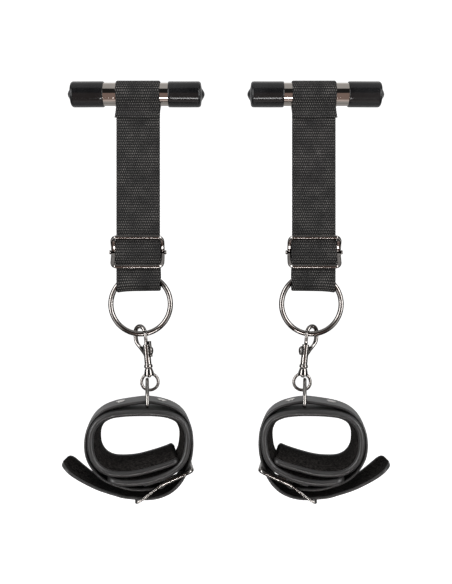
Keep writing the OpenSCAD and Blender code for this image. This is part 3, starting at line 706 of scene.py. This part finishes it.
def strip(name, side, path, width, section, mats, mat_of, end_round=8.0, step=0.8, wobble=0.0, seed=1, tongue=None, place=cuff_place):
    """A strip with a rolled cross-section. section(k) gives (y fraction, y offset mm, normal mm) points around it."""
    p, s = resample(path, step)
    nm = normals2(p)
    L = s[-1]
    sec = section()
    ns = len(sec)
    V = np.empty((len(p), ns, 3))
    for i in range(len(p)):
        d0, d1 = s[i], L - s[i]
        # rounded ends: the half width drops near the ends
        hw = width / 2
        for d, rr in ((d0, end_round[0]), (d1, end_round[1])):
            if rr > 0 and d < rr:
                hw -= rr - math.sqrt(max(rr * rr - (rr - d) ** 2, 0))
        if tongue:
            hw = min(hw, tongue(s[i], L))
        hw = max(hw, 0.4)
        thin = min(1.0, 0.25 + min(d0, d1) / 2.6) if True else 1.0
        thin = math.sqrt(min(1.0, max(0.02, min(d0, d1) / 2.2))) if min(d0, d1) < 2.2 else 1.0
        for j, (fy, oy, on) in enumerate(sec):
            y = fy * (hw - abs(oy)) + (math.copysign(abs(oy), fy) if False else oy)
            V[i, j] = (p[i][0] + nm[i][0] * on * thin, y, p[i][1] + nm[i][1] * on * thin)
    if wobble:
        S, Y = np.meshgrid(s, np.arange(ns), indexing="ij")
        w = wobble * fbm(S * 0.16, V[:, :, 1] * 0.13, seed)
        V[:, :, 0] += nm[:, None, 0] * w
        V[:, :, 2] += nm[:, None, 1] * w
    v = place(V.reshape(-1, 3))
    F = grid_faces(ns, len(p), wrap_u=True)
    F = [tuple(reversed(q)) for q in F]
    fm = [mat_of(j) for i in range(len(p) - 1) for j in range(ns)]
    F.append(tuple(range(ns))); F.append(tuple((len(p) - 1) * ns + q for q in range(ns - 1, -1, -1)))
    fm += [0, 0]
    return build(name, side, v, F, mats, face_mat=fm), p, s, nm

def rolled_section(t_out, t_in, roll, crown_out, crown_in, inset, n_mid=14):
    """Closed section, outer face first (positive normal), from -Y to +Y and back along the lining.
    Points are (share of half width, offset from the edge in mm, height along the normal)."""
    pts = []
    def at(y_from_edge, sgn):  # helper for a point measured from the edge
        return (sgn, -sgn * y_from_edge)
    # outer face
    for u in np.linspace(-1, 1, n_mid):
        pts.append(("m", u * 0.90, t_out + crown_out * (1 - u * u)))
    # +Y edge roll, outer to inner
    for a in np.linspace(75, -75, 9):
        pts.append(("e", 1, roll * (1 - math.cos(math.radians(a))), roll * math.sin(math.radians(a))))
    for d, h in ((roll + 0.9, -t_in + 0.35), (roll + 1.6, -t_in + 0.9)):
        pts.append(("e", 1, d, h))
    for u in np.linspace(1, -1, n_mid):
        pts.append(("m", u * 0.84, -t_in - crown_in * (1 - u * u) + 0.45))
    for d, h in ((roll + 1.6, -t_in + 0.9), (roll + 0.9, -t_in + 0.35)):
        pts.append(("e", -1, d, h))
    for a in np.linspace(-75, 75, 9):
        pts.append(("e", -1, roll * (1 - math.cos(math.radians(a))), roll * math.sin(math.radians(a))))
    return pts

def strip2(name, side, path, width, pts, mats, mat_of, ends=(8.0, 8.0), step=0.8, wobble=0.0, seed=1, tongue=None, pinch=2.4, lift=None):
    p, s = resample(path, step)
    p = smooth_path(p, 2)
    nm = normals2(p)
    L = s[-1]
    ns = len(pts)
    V = np.empty((len(p), ns, 3))
    for i in range(len(p)):
        hw = width / 2
        for d, rr in ((s[i], ends[0]), (L - s[i], ends[1])):
            if rr > 0 and d < rr:
                hw -= rr - math.sqrt(max(rr * rr - (rr - d) ** 2, 0))
        if tongue:
            hw = min(hw, tongue(s[i], L))
        hw = max(hw, 0.8)
        m_ = min(s[i], L - s[i])
        thin = math.sqrt(max(0.0, 1 - (1 - min(m_ / pinch, 1)) ** 2)) if m_ < pinch else 1.0
        thin = max(thin, 0.12)
        for j, q in enumerate(pts):
            if q[0] == "m":
                y, h = q[1] * hw, q[2]
            else:
                y, h = q[1] * max(hw - q[2], 0.0), q[3]
            V[i, j] = (p[i][0] + nm[i][0] * h * thin, y, p[i][1] + nm[i][1] * h * thin)
    if wobble:
        S = np.repeat(s[:, None], ns, 1)
        w = wobble * fbm(S * 0.17, V[:, :, 1] * 0.10, seed)
        V[:, :, 0] += nm[:, None, 0] * w
        V[:, :, 2] += nm[:, None, 1] * w
    if lift is not None:
        w = lift(np.repeat(s[:, None], ns, 1), V[:, :, 1], L)
        V[:, :, 0] -= nm[:, None, 0] * w
        V[:, :, 2] -= nm[:, None, 1] * w
    v = cuff_place(V.reshape(-1, 3))
    F = [tuple(reversed(q)) for q in grid_faces(ns, len(p), wrap_u=True)]
    fm = [mat_of(j) for i in range(len(p) - 1) for j in range(ns)]
    F.append(tuple(range(ns))); F.append(tuple((len(p) - 1) * ns + q for q in range(ns - 1, -1, -1)))
    fm += [0, 0]
    o = build(name, side, v, F, mats, face_mat=fm)
    return o, p, s, nm

def seam(name, side, p, s, nm, y, h, s0, s1, pitch=2.6, length=1.9, r=0.24):
    """A row of stitches along a strip at y, at height h over its middle."""
    parts = []
    k = int((s1 - s0) / pitch)
    for i in range(k):
        c = s0 + (i + 0.5) * (s1 - s0) / k
        u = np.linspace(-1, 1, 7)
        ss = c + u * length / 2
        x = np.interp(ss, s, p[:, 0]); z = np.interp(ss, s, p[:, 1])
        nx = np.interp(ss, s, nm[:, 0]); nz = np.interp(ss, s, nm[:, 1])
        hh = h + np.sign(h) * ((1 - u ** 4) * 0.22 - 0.12)
        parts.append(sweep(np.stack([x + nx * hh, np.full(7, y), z + nz * hh], 1), r * np.sqrt(1 - 0.5 * u ** 4), 8))
    v, f = join_parts(parts)
    return build(name, side, cuff_place(v), f, [M["thread"]])

WRAP_R = 1.4 + 0.15 + STRAP_T / 2
STRAP_A = cr([[3, -355], [8, -353.9], [13, -352.4], [16.6, -351.4]], 6)
STRAP_B = arc2(BUCK["m"], WRAP_R, 98, -86, 24)
STRAP_C = cr([[15, -357.9], [9, -358.6], [0, -358.9], [-9, -357.9], [-18, -355.2], [-27, -351.7], [-35.8, -346],
    [-42.6, -337.3], [-46.8, -328], [-48, -317], [-46.2, -305.5], [-41.2, -296], [-33.5, -289.0], [-25, -285.2], [-17.5, -283.4], [-8, -281.9],
    [0, -280.9], [6.7, -280.5], [14, -281.3], [20, -282.6], [28, -285.2], [36, -289.8], [42, -296.6], [45.6, -306], [46.8, -317],
    [46.4, -326], [44.9, -334], [42.5, -341.5], [39.4, -348.4], [34.6, -355.4], [27.5, -361.6], [18.5, -365.5], [9, -367], [0, -366.6],
    [-8, -365.8], [-15, -364.7], [-21, -362.8], [-27, -360.8], [-36, -357.4], [-45, -353.0], [-53.5, -348.2],
    [-60.5, -343.4], [-66, -338.6], [-69.4, -335.4]], 8)

def make_cuff(side):
    # pad: leatherette outside and rolled edges, lining inside
    pts = rolled_section(2.45, 2.3, 2.85, 0.15, 4.4, 3.0)
    def lift(sv, y, total):
        # the far side of the lower lap and of the left wall stands a little further in
        k = np.clip((y + 12) / 40, 0, 1); k = k * k * (3 - 2 * k)
        w = np.clip(1 - (sv - 105) / 40, 0, 1)
        return 3.4 * k * w * w * (3 - 2 * w)
    nmid = 14
    def pad_mat(j):
        return 1 if (nmid + 9 + 1) <= j <= (nmid + 9 + 2 + nmid + 0) else 0
    pad, p, s, nm = strip2("cuff_pad_v", side, cr(PAD_PATH, 8), PAD_W, pts, [M["leather"], M["lining"]], pad_mat,
                           ends=(5.5, 9.0), step=1.0, wobble=0.16, seed=3, lift=lift)
    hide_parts(f"{side}_cuff_pad", f"{side}_cuff_lining")
    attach(pad, f"{side}_cuff")
    L = s[-1]
    # strap
    def strap_tongue(sv, total):
        d = total - sv
        return STRAP_W / 2 if d > 15 else STRAP_W / 2 * max(1 - ((15 - d) / 15) ** 2.8, 0.0) ** (1 / 2.8)
    def tail_lift(sv, y, total):
        k = np.clip((sv - total + 52) / 46, 0, 1)
        k = k * k * (3 - 2 * k)
        w = np.clip((y + 4) / 22, 0, 1)
        return 5.2 * k * w * w * (3 - 2 * w)
    path = np.vstack([STRAP_A[:-1], STRAP_B[1:-1], STRAP_C])
    pts2 = rolled_section(1.35, 1.25, 1.4, 0.12, 0.05, 1.5)
    def strap_mat(j):
        return 1 if (nmid + 9 + 1) <= j <= (nmid + 9 + 2 + nmid + 0) else 0
    st, sp, ss, snm = strip2("cuff_strap_v", side, path, STRAP_W, pts2, [M["leather"], M["lining"]], strap_mat,
                             ends=(1.0, 0.0), step=0.9, wobble=0.07, seed=11, tongue=strap_tongue, pinch=1.4, lift=tail_lift)
    # the loop stays on the cuff: one mesh parted at a ring of points behind the buckle, into the loop and the free end
    k = int(len(sp) * 0.55)
    k += int(np.argmin(np.hypot(sp[k:, 0] - 11, sp[k:, 1] + 366.8)))
    ns = len(pts2)
    tail = st.copy(); tail.data = st.data.copy(); tail.name = f"{side}_cuff_strap_end_v"
    bpy.context.scene.collection.objects.link(tail)
    for o, keep in ((st, lambda r: r <= k), (tail, lambda r: r >= k)):
        bm = bmesh.new(); bm.from_mesh(o.data); bm.verts.ensure_lookup_table()
        bmesh.ops.delete(bm, geom=[v for v in bm.verts if not keep(v.index // ns)], context="VERTS")
        bm.to_mesh(o.data); bm.free()
    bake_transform(tail)
    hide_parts(f"{side}_cuff_strap_tail")
    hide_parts(f"{side}_cuff_strap")
    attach(st, f"{side}_cuff")
    # rivets
    for k, (x, z, tilt) in enumerate(((-17.5, -283.4, -11.0), (20, -282.6, 15.6))):
        v, f = lathe([(0.001, -4.0), (1.5, -4.0), (1.5, 0.0), (4.2, 0.02), (4.5, 0.2), (4.4, 0.5), (3.9, 0.75), (2.6, 0.92), (0.001, 1.0)], 48)
        t = math.radians(tilt)
        v = np.stack([x + v[:, 0] * math.cos(t) + v[:, 2] * math.sin(t), v[:, 1], z + STRAP_T / 2 - v[:, 0] * math.sin(t) + v[:, 2] * math.cos(t)], 1)
        o = weld(build(f"rivet_{k}", side, cuff_place(v), f, [M["rivet"]]))
        if k == 0:
            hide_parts(f"{side}_cuff_rivets")
        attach(o, f"{side}_cuff")

def make_buckle(side):
    a, m, b = BUCK["l"], BUCK["m"], BUCK["r"]
    rail = cr([a, a + (m - a) * 0.33 + [0.5, -0.4], m - [2.5, 1.9], m + [2.5, 1.1], m + (b - m) * 0.6, b], 8)
    n, Y = len(rail), 21.2
    mid = rail[4:n - 4]
    def edge(y, pts):
        return [[q[0], y, q[1]] for q in pts]
    loop = np.array(edge(-Y, mid)
        + [[rail[n - 3][0], -Y + 0.35, rail[n - 3][1]], [rail[n - 2][0], -Y + 1.1, rail[n - 2][1]], [b[0], -Y + 2.6, b[1]]]
        + [[b[0], y, b[1]] for y in np.linspace(-Y + 4, Y - 4, 16)]
        + [[b[0], Y - 2.6, b[1]], [rail[n - 2][0], Y - 1.1, rail[n - 2][1]], [rail[n - 3][0], Y - 0.35, rail[n - 3][1]]]
        + edge(Y, mid[::-1])
        + [[rail[2][0], Y - 0.35, rail[2][1]], [rail[1][0], Y - 1.1, rail[1][1]], [a[0], Y - 2.6, a[1]]]
        + [[a[0], y, a[1]] for y in np.linspace(Y - 4, -Y + 4, 16)]
        + [[a[0], -Y + 2.6, a[1]], [rail[1][0], -Y + 1.1, rail[1][1]], [rail[2][0], -Y + 0.35, rail[2][1]]])
    q = np.vstack([loop, loop[:1]])
    q = resample(q, 0.7)[0][:-1]
    for _ in range(3):
        q = 0.25 * np.roll(q, 1, 0) + 0.5 * q + 0.25 * np.roll(q, -1, 0)
    rr_ = np.interp(q[:, 0], [m[0] - 1.5, m[0] + 4.5], [1.35, 2.1])
    v, f = sweep(q, rr_, 20, closed=True)
    o = build("buckle_frame_v", side, cuff_place(v), f, [M["bright"]])
    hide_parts(f"{side}_buckle_frame"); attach(o, f"{side}_cuff")
    v, f = lathe([(0.001, -Y - 0.6), (1.2, -Y - 0.5), (1.4, -Y - 0.2), (1.4, 0), (1.4, Y + 0.2), (1.2, Y + 0.5), (0.001, Y + 0.6)], 24)
    v = np.stack([m[0] + v[:, 0], v[:, 2], m[1] + v[:, 1]], 1)
    o = weld(build("buckle_bar_v", side, cuff_place(v), f, [M["bright"]]))
    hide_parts(f"{side}_buckle_bar"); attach(o, f"{side}_cuff")
    # prong: an eye round the bar and a tapered pin
    d0 = m + np.array([0.9, -1.9]); d1 = np.array([47.7, -345.0]); d = (d1 - d0) / np.linalg.norm(d1 - d0)
    a_ = np.linspace(0, 2 * math.pi, 40, endpoint=False)
    eye = np.stack([m[0] + 2.2 * np.cos(a_), 0 * a_, m[1] + 2.2 * np.sin(a_)], 1)
    k = np.linspace(0, 31.4, 60)
    pin = np.stack([d0[0] + d[0] * (k - 0.4), 0 * k, d0[1] + d[1] * (k - 0.4)], 1)
    pr = np.interp(k, [0, 3, 26, 31.0, 31.4], [1.3, 1.25, 1.1, 0.8, 0.35])
    v, f = join_parts([sweep(eye, 0.75, 12, closed=True), sweep(pin, pr, 16)])
    v[:, 1] *= 1.25
    o = build("prong_v", side, cuff_place(v), f, [M["bright"]])
    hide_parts(f"{side}_buckle_prong"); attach(o, f"{side}_prong")

for side in ("left", "right"):
    make_anchor(side)
    make_webbing(side)
    make_slider(side)
    make_ring(side)
    make_hook(side)
    make_dee(side)
    make_cuff(side)
    make_buckle(side)

# ------------------------------------------------------------------ stage, light, camera
scene = bpy.context.scene
fm, nt, b = new_mat("stage_floor")
n = node(nt, "ShaderNodeTexNoise"); n.inputs["Scale"].default_value = 3
nt.links.new(ramp(nt, n.outputs[0], [(0.3, (0.93, 0.93, 0.93)), (0.7, (0.96, 0.96, 0.96))]), b.inputs["Base Color"])
b.inputs["Roughness"].default_value = 0.9
b.inputs["Emission Color"].default_value = (1, 1, 1, 1)
b.inputs["Emission Strength"].default_value = 0.55
bpy.ops.mesh.primitive_plane_add(size=14, location=(0, 3, -0.62))
floor = bpy.context.object; floor.name = "floor"; floor.data.materials.append(fm)
floor.visible_glossy = False

w = bpy.data.worlds.new("studio"); scene.world = w; w.use_nodes = True
nt = w.node_tree
for x in list(nt.nodes): nt.nodes.remove(x)
out = nt.nodes.new("ShaderNodeOutputWorld")
bg_cam = nt.nodes.new("ShaderNodeBackground"); bg_cam.inputs[0].default_value = (1, 1, 1, 1); bg_cam.inputs[1].default_value = 1.15
bg_env = nt.nodes.new("ShaderNodeBackground"); bg_env.inputs[1].default_value = 1.0
geo = nt.nodes.new("ShaderNodeTexCoord")
sep = nt.nodes.new("ShaderNodeSeparateXYZ"); nt.links.new(geo.outputs["Generated"], sep.inputs[0])
def smooth(v, a, b_):
    m = node(nt, "ShaderNodeMapRange", interpolation_type="SMOOTHSTEP")
    m.inputs[1].default_value, m.inputs[2].default_value = a, b_
    nt.links.new(v, m.inputs[0])
    return m.outputs[0]
def mul(*a):
    o = a[0]
    for q in a[1:]:
        o = math_n(nt, "MULTIPLY", o, q)
    return o
DX, DY, DZ = sep.outputs
ax_ = math_n(nt, "ABSOLUTE", DX)
azn = math_n(nt, "ABSOLUTE", DZ)
front = math_n(nt, "MULTIPLY", DY, -1.0)
box_ = mul(smooth(ax_, 0.42, 0.54), smooth(ax_, 0.90, 0.80), smooth(front, 0.12, 0.34), smooth(azn, 0.70, 0.55), 1.5)
top = mul(smooth(DZ, 0.66, 0.76), 0.62)
back = mul(smooth(DY, 0.25, 0.62), 0.5)
low = mul(smooth(DZ, 0.03, -0.05), smooth(ax_, 0.34, 0.22), smooth(front, 0.0, 0.1), 0.34)
lowb = mul(smooth(DZ, -0.86, -0.97), 0.5)
white = math_n(nt, "ADD", math_n(nt, "ADD", box_, top), math_n(nt, "ADD", back, lowb))
white = math_n(nt, "ADD", white, 0.025)
comb = nt.nodes.new("ShaderNodeCombineXYZ")
for i, k in enumerate((1.0, 0.72, 0.63)):
    nt.links.new(math_n(nt, "ADD", white, math_n(nt, "MULTIPLY", low, k)), comb.inputs[i])
nt.links.new(comb.outputs[0], bg_env.inputs[0])
lp = nt.nodes.new("ShaderNodeLightPath"); mix = nt.nodes.new("ShaderNodeMixShader")
nt.links.new(lp.outputs["Is Camera Ray"], mix.inputs[0]); nt.links.new(bg_env.outputs[0], mix.inputs[1]); nt.links.new(bg_cam.outputs[0], mix.inputs[2])
nt.links.new(mix.outputs[0], out.inputs[0])

def area(name, loc, target, size, power, size_y=None):
    l = bpy.data.lights.new(name, "AREA"); l.energy = power; l.size = size
    if size_y: l.shape = "RECTANGLE"; l.size_y = size_y
    o = bpy.data.objects.new(name, l); scene.collection.objects.link(o)
    o.location = loc
    o.rotation_mode = "QUATERNION"
    o.rotation_quaternion = (Vector(target) - Vector(loc)).to_track_quat("-Z", "Y")
    return o

area("top", (0.0, -0.75, 0.80), (0, 0, -0.15), 1.0, 10, 0.6).visible_glossy = False
area("left", (-0.95, -0.85, 0.05), (0, 0, -0.2), 0.30, 9.5, 1.0)
area("right", (0.95, -0.85, 0.05), (0, 0, -0.2), 0.30, 9.5, 1.0)
area("low", (0.0, -0.72, -0.82), (0, 0, 0), 0.42, 3.2, 0.10)

cam = bpy.data.cameras.new("cam"); cam.sensor_fit = "AUTO"; cam.sensor_width = 36; cam.lens = 36 * 776 / 584
co = bpy.data.objects.new("cam", cam); scene.collection.objects.link(co)
co.location = (0, -0.714, -0.1818); co.rotation_euler = (math.radians(90), 0, 0)
cam.clip_start, cam.clip_end = 0.05, 50
scene.camera = co
scene.view_settings.view_transform = "Standard"
